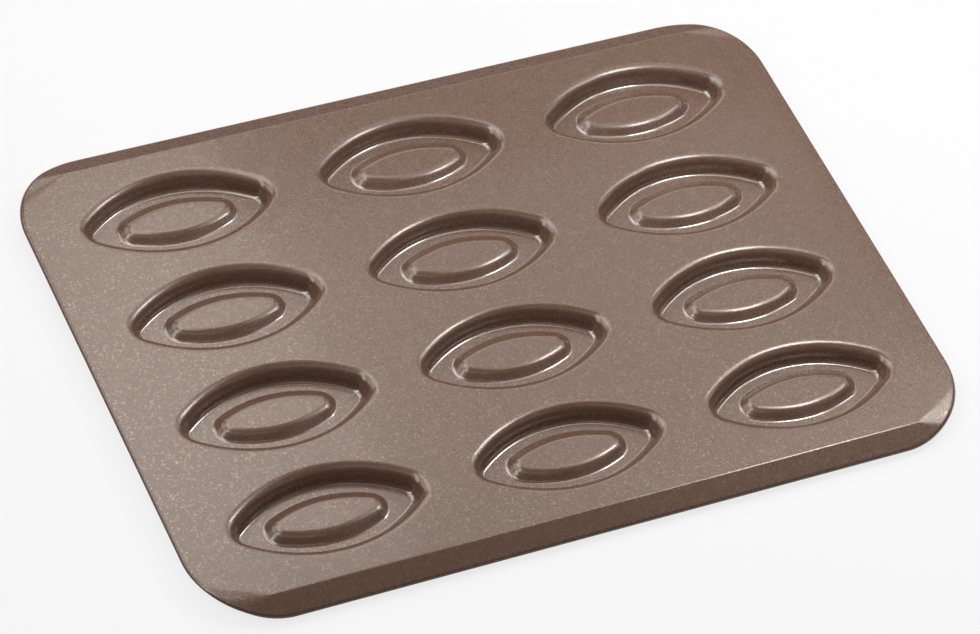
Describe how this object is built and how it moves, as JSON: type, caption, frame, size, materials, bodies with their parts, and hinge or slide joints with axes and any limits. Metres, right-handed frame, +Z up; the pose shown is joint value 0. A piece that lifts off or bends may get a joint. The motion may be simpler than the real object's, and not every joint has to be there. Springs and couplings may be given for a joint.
{
  "type": "barquette pan",
  "caption": "Flat rectangular baking pan with rounded corners, turned-down long sides and a grid of shallow boat-shaped cups, each with a raised boat-shaped island.",
  "frame": {"origin": "on the resting plane under the cups' floors, below the middle of the pan", "axes": "+X along the pan's length and along the cups, +Y across its width, +Z up out of the cups' mouths"},
  "size_m": [0.385, 0.28, 0.0092],
  "materials": {
    "steel": "bare pressed carbon steel, seen only at the cut edge",
    "food_side_coat": "baked brown non-stick coating, satin, with a fine metallic grain",
    "underside_coat": "baked dark non-stick coating, satin"
  },
  "bodies": {
    "root": {"steel_sheet": "steel", "food_side_coating": "food_side_coat", "underside_coating": "underside_coat"}
  },
  "joints": []
}
